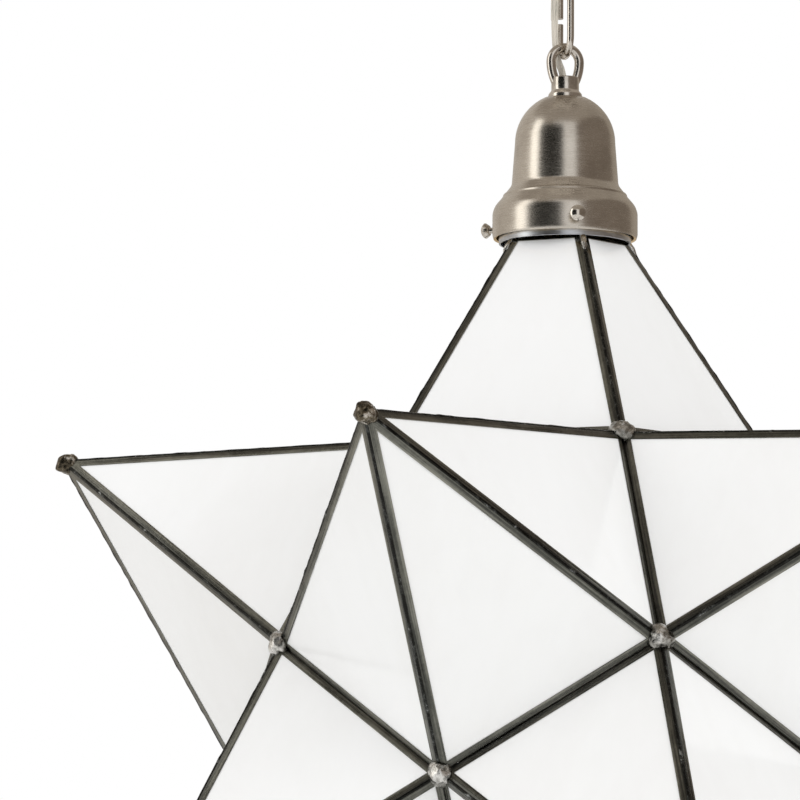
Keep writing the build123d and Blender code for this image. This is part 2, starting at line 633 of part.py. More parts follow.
def earth_screw():
    """Round-headed screw for the earth wire, its head below the bar."""
    half = EARTH_HEAD_HEIGHT / 2
    outline = [(0, -EARTH_HEAD_HEIGHT)]
    outline += arc_points((EARTH_HEAD_RADIUS - half, -half), half, -90, 0, 3)
    outline += [(EARTH_HEAD_RADIUS, 0), (EARTH_SCREW_RADIUS, 0)]
    outline += [(EARTH_SCREW_RADIUS, EARTH_SCREW_LENGTH), (0, EARTH_SCREW_LENGTH)]
    return Pos(EARTH_SCREW_PLACE, 0, -CROSSBAR_THICKNESS) * turned(outline, SCREW_SIDES)


# ---------------------------------------------------------------- canopy
def canopy():
    """Drawn sheet cup against the ceiling, with a hole for the ceiling loop's base."""

    def shell(wall, chords):
        depth = CANOPY_DEPTH - wall
        mouth, middle = (CANOPY_RADIUS - wall, 0), (0, -depth)
        skirt = (CANOPY_RADIUS - wall, -CANOPY_SKIRT + wall * SLOPE_SHARE)
        flat = (CANOPY_FLAT_RADIUS, -depth)
        outline = [(0, 0), mouth] + rounded(mouth, skirt, flat, CANOPY_SKIRT_ROUND - wall, chords)
        outline += rounded(skirt, flat, middle, CANOPY_FLAT_ROUND - wall, chords)
        return turned(outline + [middle], BELL_SIDES)

    cup = shell(0, 3) - shell(CANOPY_WALL, 2)
    low, high = canopy_face_z - 1, canopy_face_z + 2 * CANOPY_WALL
    return cup - rod(BASE_RADIUS + HOLE_PLAY, low, high, LOOP_BODY_SIDES)


def canopy_collar():
    """Ring nut that holds the canopy up."""
    bore, low = BASE_RADIUS + THREAD_PLAY, -NUT_RING_HEIGHT
    outline = [(bore, 0), (bore, low), (NUT_RING_RADIUS - NUT_RING_CHAMFER, low)]
    outline += [(NUT_RING_RADIUS, low + NUT_RING_CHAMFER), (NUT_RING_RADIUS, -NUT_RING_FLANGE)]
    outline += [(NUT_RING_FLANGE_RADIUS, -NUT_RING_FLANGE), (NUT_RING_FLANGE_RADIUS, 0)]
    return Pos(0, 0, canopy_face_z) * Rot(0, 0, ceiling_loop_turn) * turned(outline, LOOP_BODY_SIDES)


# ---------------------------------------------------------------- lamp socket and bulb
nut_top_z = bell_top_z - BELL_WALL
socket_top_z = nut_top_z - NUT_THICKNESS
socket_shoulder_z = socket_top_z - SOCKET_CAP_HEIGHT
socket_rim_z = socket_shoulder_z - SOCKET_LENGTH
pipe_top_z = holder_eye_z - WIRE_HOLE_LENGTH
pipe_foot_z = socket_top_z - PIPE_ENGAGEMENT + 0.5
cord_foot_z = socket_top_z - PIPE_ENGAGEMENT
bore_top_z = socket_rim_z + SOCKET_BORE_DEPTH
contact_z = bore_top_z - CONTACT_THICKNESS


def socket_body():
    outline = [
        (0, socket_top_z),
        (SOCKET_HUB_RADIUS, socket_top_z),
        (SOCKET_CAP_RADIUS, socket_top_z - SOCKET_CAP_HEIGHT / 3),
        (SOCKET_RADIUS, socket_shoulder_z),
        (SOCKET_RADIUS, socket_rim_z),
        (SOCKET_BORE_RADIUS, socket_rim_z),
        (SOCKET_BORE_RADIUS, bore_top_z),
        (0, bore_top_z),
    ]
    body = turned(outline, BULB_SIDES)
    body -= rod(PIPE_RADIUS + THREAD_PLAY, socket_top_z - PIPE_ENGAGEMENT, socket_top_z + 1, PIPE_SIDES)
    for side in (-1, 1):
        hole = rod(TERMINAL_SHANK_RADIUS, -TERMINAL_SHANK_LENGTH, TERMINAL_HEIGHT, SOLDER_SIDES)
        body -= Pos(side * SOCKET_RADIUS, 0, socket_rim_z + TERMINAL_PLACE) * Rot(0, 90 * side, 0) * hole
    return body


def socket_shell():
    outer, low = SOCKET_BORE_RADIUS - SHELL_PLAY, socket_rim_z + SHELL_RECESS
    inner, high = outer - SHELL_WALL, low + SHELL_LENGTH
    return turned([(inner, low), (outer, low), (outer, high), (inner, high)], BULB_SIDES)


def socket_contact():
    """Spring tab at the bottom of the socket."""
    return Pos(0, 0, bore_top_z) * Box(
        CONTACT_WIDTH * 2, CONTACT_WIDTH, CONTACT_THICKNESS, align=TOP
    )


def terminal_screws():
    screws = []
    for side in (-1, 1):
        outline = [(0, -TERMINAL_SHANK_LENGTH), (TERMINAL_SHANK_RADIUS, -TERMINAL_SHANK_LENGTH)]
        outline += [(TERMINAL_SHANK_RADIUS, 0), (TERMINAL_RADIUS, 0)]
        outline += [(TERMINAL_RADIUS, TERMINAL_HEIGHT), (0, TERMINAL_HEIGHT)]
        place = Pos(side * SOCKET_RADIUS, 0, socket_rim_z + TERMINAL_PLACE)
        screws.append(place * Rot(0, 90 * side, 0) * turned(outline, SOLDER_SIDES))
    return screws


bulb_top_z = contact_z - CONTACT_GAP
bulb_base_top_z = bulb_top_z - BULB_TIP_HEIGHT
bulb_skirt_z = bulb_base_top_z - BULB_BASE_LENGTH


def bulb_base():
    foot, top = -BULB_BASE_LENGTH, BULB_BASE_CHAMFER
    outline = [(0, -BULB_BASE_CROWN), (BULB_NECK_RADIUS, -BULB_BASE_CROWN), (BULB_NECK_RADIUS, foot)]
    outline += [(BULB_BASE_RADIUS, foot), (BULB_BASE_RADIUS, -top), (BULB_BASE_RADIUS - top, 0), (0, 0)]
    return Pos(0, 0, bulb_base_top_z) * turned(outline, BULB_SIDES)


def bulb_contact():
    edge = BULB_TIP_HEIGHT / 2
    outline = [(0, 0), (BULB_TIP_RADIUS, 0), (BULB_TIP_RADIUS, BULB_TIP_HEIGHT - edge)]
    outline += [(BULB_TIP_RADIUS - edge, BULB_TIP_HEIGHT), (0, BULB_TIP_HEIGHT)]
    return Pos(0, 0, bulb_base_top_z) * turned(outline, SCREW_SIDES)


def bulb_glass():
    """Tubular envelope, closed by a half ball and drawn in to its neck."""

    def envelope(wall, chords):
        r = BULB_GLASS_RADIUS - wall
        neck = BULB_NECK_RADIUS - BULB_NECK_PLAY - wall
        foot = bulb_top_z - BULB_LENGTH + wall
        low, high = bulb_skirt_z - BULB_SHOULDER, bulb_skirt_z - BULB_SHOULDER / 5
        end = bulb_skirt_z + BULB_NECK_DEPTH - wall
        ball = arc_points((0, foot + r), r, -90, 0, chords)[1:]
        outline = [(0, foot)] + ball + [(r, low), (neck, high), (neck, end), (0, end)]
        return turned(outline, BULB_SIDES)

    return envelope(0, 5) - envelope(BULB_GLASS_WALL, 4)


# ---------------------------------------------------------------- thumbscrews
def thumbscrew(k):
    """Round-headed screw through the rim, its tip just off the collar."""
    ball = (SCREW_HEAD_RADIUS**2 + SCREW_DOME_HEIGHT**2) / (2 * SCREW_DOME_HEIGHT)
    rise = math.degrees(math.acos(SCREW_HEAD_RADIUS / ball))
    dome = arc_points((0, SCREW_HEAD_THICKNESS - ball), ball, rise, 90, 3)[:-1]
    outline = [(0, -SCREW_REACH), (SCREW_RADIUS, -SCREW_REACH), (SCREW_RADIUS, 0)]
    outline += [(SCREW_HEAD_FOOT_RADIUS, 0)] + dome + [(0, SCREW_HEAD_THICKNESS)]
    place = screw_plane(k, COLLAR_RADIUS + SCREW_TIP_GAP + SCREW_REACH)
    return place.location * turned(outline, SCREW_SIDES)


# ---------------------------------------------------------------- writing the sub-parts
def write(name, pieces):
    solids = []
    for piece in pieces if isinstance(pieces, list) else [pieces]:
        solids += piece.solids()
    shape = solids[0] if len(solids) == 1 else Compound(children=solids)
    export_step(shape, f"parts/{name}.step")


full_pane, full_came = panel()
cut_pane, cut_came = panel(TOP_CUT)
for point, unit in TIPS.items():
    place = point_plane(unit).location
    pane, came = (cut_pane, cut_came) if point == "top_point" else (full_pane, full_came)
    write(f"{point}_glass", [place * p for p in ring_of_five(pane)])
    write(f"{point}_came", [place * p for p in ring_of_five(came)])
write("tip_solder", tip_solder())
write("corner_solder", corner_solder())

neck_collar = shade_collar()
write("shade_collar", neck_collar)
write("collar_solder", collar_solder(neck_collar))
write("bell_holder", bell_holder())
for k in range(SCREW_COUNT):
    write(f"thumbscrew_{k + 1}", thumbscrew(k))
write("holder_loop", holder_loop())
write("holder_pipe", lamp_pipe(pipe_top_z, pipe_foot_z))
write("holder_locknut", locknut(nut_top_z))

write("socket_body", socket_body())
write("socket_shell", socket_shell())
write("socket_contact", socket_contact())
write("terminal_screws", terminal_screws())
write("bulb_base", bulb_base())
write("bulb_contact", bulb_contact())
write("bulb_glass", bulb_glass())

link = chain_link()
for k, height in enumerate(link_zs):
    write(f"chain_link_{k + 1}", Pos(0, 0, height) * Rot(0, 0, link_turn(k)) * link)
for k, points in enumerate(cord_route()):
    write(f"cord_{k + 1}", cord_stretch(f"cord_{k + 1}", points))

write("canopy_loop", canopy_loop())
write("canopy_collar", canopy_collar())
write("canopy", canopy())
write("crossbar", crossbar())
write("earth_screw", earth_screw())
write("hanger_pipe", lamp_pipe(HANGER_STAND, base_top_z - PIPE_ENGAGEMENT + 0.5))
write("hanger_locknut", locknut(-CROSSBAR_THICKNESS))

print("star centre", round(star_z, 2), "rim", round(rim_z, 2), "chain foot", round(chain_foot_z, 2))
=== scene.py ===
import bmesh
import bpy
import itertools
import math
from mathutils import Matrix, Vector
from mathutils.geometry import intersect_point_line


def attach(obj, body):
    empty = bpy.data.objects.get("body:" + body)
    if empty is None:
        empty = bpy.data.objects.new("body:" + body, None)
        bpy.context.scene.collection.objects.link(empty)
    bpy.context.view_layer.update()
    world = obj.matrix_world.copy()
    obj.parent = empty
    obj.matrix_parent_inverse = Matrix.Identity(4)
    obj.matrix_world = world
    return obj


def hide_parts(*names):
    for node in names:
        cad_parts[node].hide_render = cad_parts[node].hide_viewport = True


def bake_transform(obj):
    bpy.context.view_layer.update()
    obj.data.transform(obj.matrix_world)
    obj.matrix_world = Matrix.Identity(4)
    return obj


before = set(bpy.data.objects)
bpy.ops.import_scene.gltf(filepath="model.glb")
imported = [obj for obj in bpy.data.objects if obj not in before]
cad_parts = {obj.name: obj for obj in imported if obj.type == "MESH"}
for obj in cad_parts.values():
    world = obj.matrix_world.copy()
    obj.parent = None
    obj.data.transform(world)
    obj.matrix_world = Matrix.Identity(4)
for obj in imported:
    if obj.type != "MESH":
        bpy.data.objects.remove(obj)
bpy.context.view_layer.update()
mm = 0.001

# ---------------------------------------------------------------- camera, room and lamps
# The lamp hangs in a plain pale room and is seen from a little below its middle. A long lens
# stands level with the lower half of the star and looks up at the holder.
star_centre = Vector((0, 0, -457.05 * mm))
lens = bpy.data.cameras.new("room_camera")
camera = bpy.data.objects.new("room_camera", lens)
bpy.context.scene.collection.objects.link(camera)
bpy.context.scene.camera = camera
lens.sensor_width = 36
lens.clip_end = 50
half_picture, focal_length = 400, 3820.7  # both in pixels
lens.angle = 2 * math.atan(half_picture / focal_length)
yaw, pitch, roll = math.radians(-2.533), math.radians(6.268), math.radians(0.346)
level_right = Vector((math.cos(yaw), -math.sin(yaw), 0))
level_ahead = Vector((math.sin(yaw), math.cos(yaw), 0))
ahead = level_ahead * math.cos(pitch) + Vector((0, 0, math.sin(pitch)))
level_up = Vector((0, 0, math.cos(pitch))) - level_ahead * math.sin(pitch)
right = level_right * math.cos(roll) + level_up * math.sin(roll)
up = level_up * math.cos(roll) - level_right * math.sin(roll)
facing = Matrix((right, up, -ahead)).transposed().to_4x4()
stand = star_centre + Vector((1.4, -1633.9, -44.7)) * mm
camera.matrix_world = Matrix.Translation(stand) @ facing
bpy.context.scene.view_settings.view_transform = "Standard"


class Tone:
    """One output of a material's nodes, for writing shader maths as plain expressions."""

    def __init__(self, paint, socket):
        self.paint, self.socket = paint, socket

    def _math(self, operation, first, second):
        return self.paint.node("ShaderNodeMath", {"operation": operation}, {0: first, 1: second})

    def __add__(self, other):
        return self._math("ADD", self, other)

    def __mul__(self, other):
        return self._math("MULTIPLY", self, other)

    def above(self, limit):
        return self._math("GREATER_THAN", self, limit)


class Paint:
    """A material: constants go on the shader's own sockets, and what varies is fed from nodes."""

    def __init__(self, name, kind="ShaderNodeBsdfPrincipled", **constants):
        self.material = bpy.data.materials.new(name)
        self.material.use_nodes = True
        self.tree = self.material.node_tree
        self.tree.nodes.clear()
        self.shader = self.tree.nodes.new(kind)
        for socket, value in constants.items():
            self.shader.inputs[socket.replace("_", " ")].default_value = value
        self.output = self.tree.nodes.new("ShaderNodeOutputMaterial")
        self.tree.links.new(self.shader.outputs[0], self.output.inputs["Surface"])

    def node(self, kind, settings=None, inputs=None, output=0):
        made = self.tree.nodes.new(kind)
        for key, value in (settings or {}).items():
            if key == "stops":
                while len(made.color_ramp.elements) < len(value):
                    made.color_ramp.elements.new(0.5)
                for stop, (place, colour) in zip(made.color_ramp.elements, value):
                    stop.position, stop.color = place, (*colour, 1)
            else:
                setattr(made, key, value)
        for key, value in (inputs or {}).items():
            if isinstance(value, Tone):
                self.tree.links.new(value.socket, made.inputs[key])
            else:
                made.inputs[key].default_value = value
        return Tone(self, made.outputs[output])

    def place(self, scale):
        """The place on the object, each of its axes multiplied by its own scale."""
        spot = self.node("ShaderNodeTexCoord", output="Object")
        return self.node("ShaderNodeMapping", None, {"Vector": spot, "Scale": scale})

    def noise(self, size, detail=2.0, rough=0.5, stretch=(1, 1, 1), bend=0.0):
        """Noise whose lumps are about this size in metres."""
        place = self.place(tuple(1 / (size * s) for s in stretch))
        return self.node(
            "ShaderNodeTexNoise",
            {"noise_dimensions": "3D"},
            {"Vector": place, "Scale": 1.0, "Detail": detail, "Roughness": rough, "Distortion": bend},
        )

    def screw(self, pitch):
        """A wave up the hanging axis whose crests stand this many metres apart."""
        spot = self.node("ShaderNodeTexCoord", output="Object")
        height = self.node("ShaderNodeSeparateXYZ", None, {0: spot}, "Z")
        return self.node("ShaderNodeMath", {"operation": "SINE"}, {0: height * (2 * math.pi / pitch)})

    def ramp(self, factor, *stops):
        """Colours between stops, each given as its place on the ramp and its colour."""
        return self.node("ShaderNodeValToRGB", {"stops": stops}, {0: factor})

    def feed(self, socket, tone):
        self.tree.links.new(tone.socket, self.shader.inputs[socket])

    def bump(self, height, depth, strength=1.0):
        raised = {"Height": height, "Strength": strength, "Distance": depth}
        self.feed("Normal", self.node("ShaderNodeBump", None, raised))


# the room's white is what the eye, metal and glass see; matt things get a plain, softer light
room = bpy.data.worlds.new("pale_room")
bpy.context.scene.world = room
room.use_nodes = True
air = room.node_tree
air.nodes.clear()
ray = air.nodes.new("ShaderNodeLightPath")
seen = ray.outputs["Is Camera Ray"]
for kind in ("Is Glossy Ray", "Is Transmission Ray"):
    most = air.nodes.new("ShaderNodeMath")
    most.operation = "MAXIMUM"
    air.links.new(seen, most.inputs[0])
    air.links.new(ray.outputs[kind], most.inputs[1])
    seen = most.outputs[0]
either = air.nodes.new("ShaderNodeMixShader")
air.links.new(seen, either.inputs[0])
for socket, strength in ((1, 0.83), (2, 1.0)):
    white = air.nodes.new("ShaderNodeBackground")
    white.inputs["Color"].default_value = (1, 1, 1, 1)
    white.inputs["Strength"].default_value = strength
    air.links.new(white.outputs[0], either.inputs[socket])
sky = air.nodes.new("ShaderNodeOutputWorld")
air.links.new(either.outputs[0], sky.inputs[0])

for name, place, size, watts in (
    ("left_window", (-1.9, -1.5, 0.5), 1.6, 15),
    ("right_window", (2.1, -1.3, 0.2), 1.6, 17),
    ("back_window", (0.3, 2.2, 0.8), 2.0, 8),
):
    lamp = bpy.data.lights.new(name, "AREA")
    lamp.size, lamp.energy = size, watts
    window = bpy.data.objects.new(name, lamp)
    bpy.context.scene.collection.objects.link(window)
    window.location = place
    window.rotation_euler = (star_centre - Vector(place)).to_track_quat("-Z", "Y").to_euler()
    window.visible_glossy = False

# the floor, well below the lamp, and the bright, dim and dark parts of the room that it mirrors
bpy.ops.mesh.primitive_plane_add(size=8, location=(0, 0, -1.05))
floor = bpy.context.object
floor.name = "pale_floor"
pale = Paint("pale_floor", Base_Color=(0.82, 0.82, 0.81, 1), Roughness=0.9)
floor.data.materials.append(pale.material)


def mirrored(piece, name, shade):
    """A part of the room that glows in this shade, and that only glossy things see."""
    piece.name = name
    piece.data.materials.append(Paint(name, "ShaderNodeEmission", Color=(*shade, 1)).material)
    piece.visible_camera = piece.visible_diffuse = False
    piece.visible_shadow = piece.visible_transmission = False


wall_distance = 2.4
for name, low_turn, high_turn, low, high, shade in (
    ("left_wall", -176, -84, -2.0, 1.5, (0.60, 0.56, 0.51)),
    ("tall_window", -84, -64, -1.8, 2.0, (2.1, 2.08, 2.0)),
    ("dark_doorway", -61, -4, -2.0, 1.35, (0.02, 0.021, 0.02)),
    ("dim_wall", 25, 128, -2.0, 1.35, (0.23, 0.195, 0.165)),
    ("right_wall", 128, 184, -2.0, 1.5, (0.42, 0.375, 0.32)),
):
    middle, half = math.radians((low_turn + high_turn) / 2), math.radians((high_turn - low_turn) / 2)
    bpy.ops.mesh.primitive_plane_add(size=1)
    wall = bpy.context.object
    wall.data.transform(Matrix.Diagonal((2 * wall_distance * math.sin(half), high - low, 1, 1)))
    wall.data.transform(Matrix.Rotation(math.pi / 2, 4, "X"))
    wall.data.transform(Matrix.Translation((0, -wall_distance * math.cos(half), (high + low) / 2)))
    wall.data.transform(Matrix.Rotation(middle, 4, "Z"))
    mirrored(wall, name, shade)
bpy.ops.mesh.primitive_plane_add(size=5.2, location=(0, 0, 2.1))
mirrored(bpy.context.object, "dim_ceiling", (0.40, 0.36, 0.315))

# ---------------------------------------------------------------- lamp cord
# A clear twin cord, two stranded wires side by side in soft plastic, 3.5 mm wide. It comes
# down through the ceiling loop, is laced past the links and goes into the holder's neck.
chain_plane = Vector((math.cos(math.radians(17)), math.sin(math.radians(17)), 0))
across_chain = Vector((-chain_plane.y, chain_plane.x, 0))
upright = Vector((0, 0, 1))

cord_skin = Paint("cord_skin", Roughness=0.32, IOR=1.46, Coat_Weight=0.3, Coat_Roughness=0.2)
cord_cloud = cord_skin.noise(0.004, 3, stretch=(1, 1, 3))
strand = cord_skin.noise(0.0005, 2, stretch=(1, 1, 24))
cord_skin.feed(
    "Base Color",
    cord_skin.ramp(
        strand * 0.6 + cord_cloud * 0.4,
        (0.34, (0.22, 0.23, 0.18)), (0.44, (0.52, 0.48, 0.41)), (0.60, (0.66, 0.60, 0.52)),
    ),
)
cord_skin.bump(strand + cord_cloud, 0.0001, 0.4)

bpy.ops.curve.primitive_nurbs_circle_add(radius=1)
cord_section = bpy.context.object
cord_section.name = "cord_section"
for control, (wide, deep) in zip(
    cord_section.data.splines[0].points,
    ((0, -0.35), (0.75, -1.3), (1.75, -1.0), (1.75, 1.0), (0.75, 1.3), (0, 0.35), (-0.75, 1.3), (-1.75, 1.0)),
):
    control.co = (wide * mm, deep * mm, 0, 1)


def picked(piece):
    """Makes the piece the one that the next operators work on."""
    bpy.ops.object.select_all(action="DESELECT")
    piece.select_set(True)
    bpy.context.view_layer.objects.active = piece


def strung(name, above, below, start, end, length, *points):
    """Strings one stretch of cord through its points, each given along the chain's plane, across it
    and up. Its length, the bodies above and below and the two heights are not used."""
    route = bpy.data.curves.new(name, "CURVE")
    route.dimensions = "3D"
    spline = route.splines.new("NURBS")
    spline.points.add(len(points) - 1)
    for control, (along, aside, height) in zip(spline.points, points):
        control.co = (*((chain_plane * along + across_chain * aside + upright * height) * mm), 1)
    spline.order_u = 3
    spline.use_endpoint_u = True
    spline.resolution_u = 14
    cord = bpy.data.objects.new(name + "_twin", route)
    bpy.context.scene.collection.objects.link(cord)
    path = [tuple(point.co) for point in bpy.data.meshes.new_from_object(cord).vertices]
    route.bevel_mode = "OBJECT"
    route.bevel_object = cord_section
    route.use_fill_caps = True
    picked(cord)
    bpy.ops.object.convert(target="MESH")
    bpy.ops.object.shade_smooth_by_angle(angle=math.radians(60))
    cord.data.materials.append(cord_skin.material)
    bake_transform(cord)
    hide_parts(name)


strung(
    "cord_1", "ceiling_fitting", "chain_link_1", -40, -62, 68.9,
    (0, 0, 4), (0, 0, -37), (-3.8, -4.4, -47.5), (-3.8, -4.4, -64.25),
)
strung(
    "cord_2", "chain_link_1", "chain_link_2", -68, -93, 30.3,
    (-3.8, -4.4, -64.25), (-3.8, -4.4, -94.55),
)
strung(
    "cord_3", "chain_link_2", "chain_link_3", -98, -123, 30.9,
    (-3.8, -4.4, -94.55), (-3.8, -4.4, -111.85), (-3.8, 0, -124.85),
)
strung(
    "cord_4", "chain_link_3", "chain_link_4", -128, -153, 30.9,
    (-3.8, 0, -124.85), (-3.8, 4.4, -137.85), (-3.8, 4.4, -155.15),
)
strung(
    "cord_5", "chain_link_4", "pendant", -161, -182, 47.4,
    (-3.8, 4.4, -155.15), (-3.8, 4.4, -170.9), (0, 0, -181.9), (0, 0, -202),
)
bpy.data.objects.remove(cord_section)

# ---------------------------------------------------------------- crossbar, hanger pipe, earth screw
# The bar is punched from zinc-plated steel and screwed to the ceiling box. A short threaded pipe
# stands in its tapped middle with a locknut, and the earth screw is dipped in green.
def copied(name, original):
    """Another piece of the same shape."""
    piece = bpy.data.objects.new(name, original.data.copy())
    bpy.context.scene.collection.objects.link(piece)
    return piece


def finished(piece, kind, **settings):
    """Adds one modifier to the piece and applies it."""
    picked(piece)
    step = piece.modifiers.new(kind.lower(), kind)
    for key, value in settings.items():
        setattr(step, key, value)
    bpy.ops.object.modifier_apply(modifier=step.name)


def softened(piece, bevel, sharp, segments=2):
    """Rounds the edges that turn by more than so many degrees, this far from their corners."""
    finished(
        piece, "BEVEL",
        width=bevel * mm, segments=segments, limit_method="ANGLE", angle_limit=math.radians(sharp),
    )


def remade(node, bevel, sharp=30, segments=2):
    """Copies a plain solid, merges its loose faces and softens its edges as a tool would."""
    piece = copied(node + "_finished", bpy.data.objects[node])
    picked(piece)
    bpy.ops.object.mode_set(mode="EDIT")
    bpy.ops.mesh.select_all(action="SELECT")
    bpy.ops.mesh.remove_doubles(threshold=0.002 * mm)
    bpy.ops.mesh.dissolve_limited(angle_limit=math.radians(0.5))
    bpy.ops.object.mode_set(mode="OBJECT")
    softened(piece, bevel, sharp, segments)
    bpy.ops.object.shade_smooth_by_angle(angle=math.radians(sharp))
    return piece


def settled(piece, body, slot, paint, *nodes):
    """The piece gets its finish, rides on its body and stands for its solids."""
    piece.data.materials.clear()
    piece.data.materials.append(paint.material)
    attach(piece, body)
    if nodes:
        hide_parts(*nodes)


zinc = Paint("zinc_plate", Metallic=1.0)
spangle = zinc.noise(0.006, 4, 0.6)
zinc.feed("Base Color", zinc.ramp(spangle, (0.3, (0.42, 0.43, 0.44)), (0.7, (0.60, 0.60, 0.59))))
zinc.feed("Roughness", spangle * 0.25 + 0.24)
zinc.bump(zinc.noise(0.0012, 3), 0.00004, 0.5)
green = Paint("earth_green", Metallic=1.0)
dip = green.noise(0.002, 3)
green.feed("Base Color", green.ramp(dip, (0.3, (0.03, 0.16, 0.06)), (0.7, (0.07, 0.28, 0.11))))
green.feed("Roughness", dip * 0.2 + 0.22)
green.bump(dip, 0.00006, 0.6)


def threaded(name, metal, pitch):
    """Metal with a fine screw thread round the hanging axis, its turns this far apart in mm, and painted
    shade in its grooves.
    """
    paint = Paint(name, Metallic=1.0)
    dirt = paint.noise(0.003, 3)
    groove = paint.screw(pitch * mm) * 0.5 + 0.5
    # painted shade: the colour darkens to about a third of the metal's in the thread's roots, following the
    # bumped grooves
    dark = tuple(part * 0.35 for part in metal)
    paint.feed("Base Color", paint.ramp(groove * 0.8 + dirt * 0.2, (0.15, dark), (0.75, metal)))
    paint.feed("Roughness", dirt * 0.25 + 0.2)
    paint.bump(groove, 0.00025, 0.7)
    return paint


pipe_thread = threaded("pipe_thread", (0.58, 0.56, 0.52), 0.94)
settled(remade("crossbar", 0.3), "ceiling_fitting", "plated_steel", zinc, "crossbar")
settled(remade("hanger_locknut", 0.25), "ceiling_fitting", "plated_steel", zinc, "hanger_locknut")
settled(remade("earth_screw", 0.2), "ceiling_fitting", "green_steel", green, "earth_screw")


def ring_of_edges(name, sides, radius, x, height):
    """Starts a piece as a flat ring of edges at this x and height, selected in edit mode."""
    bpy.ops.mesh.primitive_circle_add(vertices=sides, radius=radius * mm, location=(x * mm, 0, height * mm))
    piece = bpy.context.object
    piece.name = name
    bpy.ops.object.transform_apply(location=True, rotation=True, scale=True)
    bpy.ops.object.mode_set(mode="EDIT")
    bpy.ops.mesh.select_all(action="SELECT")
    return piece


def select_edges(piece, wanted):
    """In edit mode, selects the edges that have both their ends where they are wanted."""
    bpy.ops.mesh.select_all(action="DESELECT")
    shape = bmesh.from_edit_mesh(piece.data)
    for edge in shape.edges:
        if all(wanted(vertex.co) for vertex in edge.verts):
            edge.select_set(True)
    bmesh.update_edit_mesh(piece.data)


def turn_outwards():
    """Turns the faces of the piece in edit mode outwards, and leaves that mode."""
    bpy.ops.mesh.select_all(action="SELECT")
    bpy.ops.mesh.normals_make_consistent(inside=False)
    bpy.ops.object.mode_set(mode="OBJECT")


hair = 0.01 * mm  # places nearer than this count as one


def turned(name, sides, *rings, end="open"):
    """Turns a piece as on a lathe. One ring of edges is drawn out to the next, each given as its
    radius and height, and a ring with a third number is rounded off that far from its corner. The
    ends are left open, capped, brought to a point, or the last is joined to the first."""
    radius, height = rings[0][:2]
    piece = ring_of_edges(name, sides, radius, 0, height)
    for ring in rings[1:]:
        bpy.ops.mesh.extrude_region_move(TRANSFORM_OT_translate={"value": (0, 0, (ring[1] - height) * mm)})
        grow = ring[0] / radius
        bpy.ops.transform.resize(value=(grow, grow, 1), center_override=(0, 0, ring[1] * mm))
        radius, height = ring[:2]
    if end == "point":
        bpy.ops.mesh.merge(type="CENTER")
    if end in ("capped", "point"):
        bpy.ops.mesh.select_all(action="SELECT")
        bpy.ops.mesh.fill_holes(sides=0)
    if end == "ring":
        bpy.ops.mesh.select_all(action="DESELECT")
        bpy.ops.mesh.select_non_manifold()
        bpy.ops.mesh.bridge_edge_loops()
    for radius, height, bevel in (ring for ring in rings if len(ring) == 3):
        select_edges(
            piece, lambda co: abs(co.z - height * mm) < hair and abs(co.xy.length - radius * mm) < hair
        )
        bpy.ops.mesh.bevel(offset=bevel * mm, segments=5, affect="EDGES", clamp_overlap=False)
    turn_outwards()
    bpy.ops.object.shade_smooth_by_angle(angle=math.radians(32))
    return piece


def set_down(piece, place, turn):
    """Puts a piece in its place, and the place into its mesh."""
    picked(piece)
    piece.location, piece.rotation_euler = Vector(place) * mm, turn
    bpy.ops.object.transform_apply(location=True, rotation=True, scale=True)
    return piece


hanger_pipe = turned(
    "hanger_pipe_threaded", 40,
    (3.5, -24.5), (4.8, -24.5), (5.1, -24.1), (5.1, 3.6), (4.8, 4), (3.5, 4), end="ring",
)
settled(hanger_pipe, "ceiling_fitting", "plated_steel", pipe_thread, "hanger_pipe")

# ---------------------------------------------------------------- ceiling loop
# Cast in white metal, turned on its base and nickel plated. The base is threaded outside for the
# ring nut and tapped inside for the hanger pipe, and the chain hangs in its eye.
def cast_eye(name):
    """The ring of a cast loop in the XZ plane, bent from a round bar, standing on z = 0."""
    wire, crown, centre, flank, sink = 2.05, 6.35, 6.9, 20.0, 2.5
    piece = ring_of_edges(name, 20, wire, crown, centre)
    bpy.ops.mesh.spin(steps=28, angle=math.pi, center=(0, 0, centre * mm), axis=(0, 1, 0))
    lean = math.asin((centre + sink) / flank)
    for side in (-1, 1):
        select_edges(piece, lambda co: co.x * side > 0 and abs(co.z - centre * mm) < hair)
        middle = (side * (crown - flank) * mm, 0, centre * mm)
        bpy.ops.mesh.spin(steps=8, angle=-side * lean, center=middle, axis=(0, 1, 0))
    bpy.ops.mesh.select_all(action="SELECT")
    bpy.ops.mesh.remove_doubles(threshold=0.001 * mm)
    bpy.ops.mesh.fill_holes(sides=0)
    turn_outwards()
    bpy.ops.object.shade_smooth_by_angle(angle=math.radians(40))
    return piece


def melted(body, other, operation):
    """Joins the other piece to the body, or cuts it away, and takes it off the bench."""
    finished(body, "BOOLEAN", object=other, operation=operation, solver="EXACT")
    bpy.data.objects.remove(other)


def plated(name, colour, stain, rough, grain=(1, 1, 0.05), depth=0.00002, thread=None):
    """Plate over a turned or drawn surface, with fine marks round the axis and soft stains. A thread
    is given as the radius outside which it is cut, and its pitch."""
    paint = Paint(name, Metallic=1.0)
    marks = paint.noise(0.006, 4, 0.7, grain)
    cloud = paint.noise(0.012, 3, 0.6)
    shade = marks * 0.55 + cloud * 0.45
    rubbed = tuple(min(1, part * 1.12) for part in colour)
    paint.feed("Base Color", paint.ramp(shade, (0.32, stain), (0.55, colour), (0.8, rubbed)))
    paint.feed("Roughness", marks * 0.16 + cloud * 0.08 + (rough - 0.12))
    height = marks
    if thread:
        radius, pitch = thread
        flat = paint.place((1, 1, 0))
        reach = paint.node("ShaderNodeVectorMath", {"operation": "LENGTH"}, {0: flat}, "Value")
        height = marks * 0.05 + paint.screw(pitch * mm) * reach.above(radius * mm)
    paint.bump(height, depth, 0.6)
    return paint


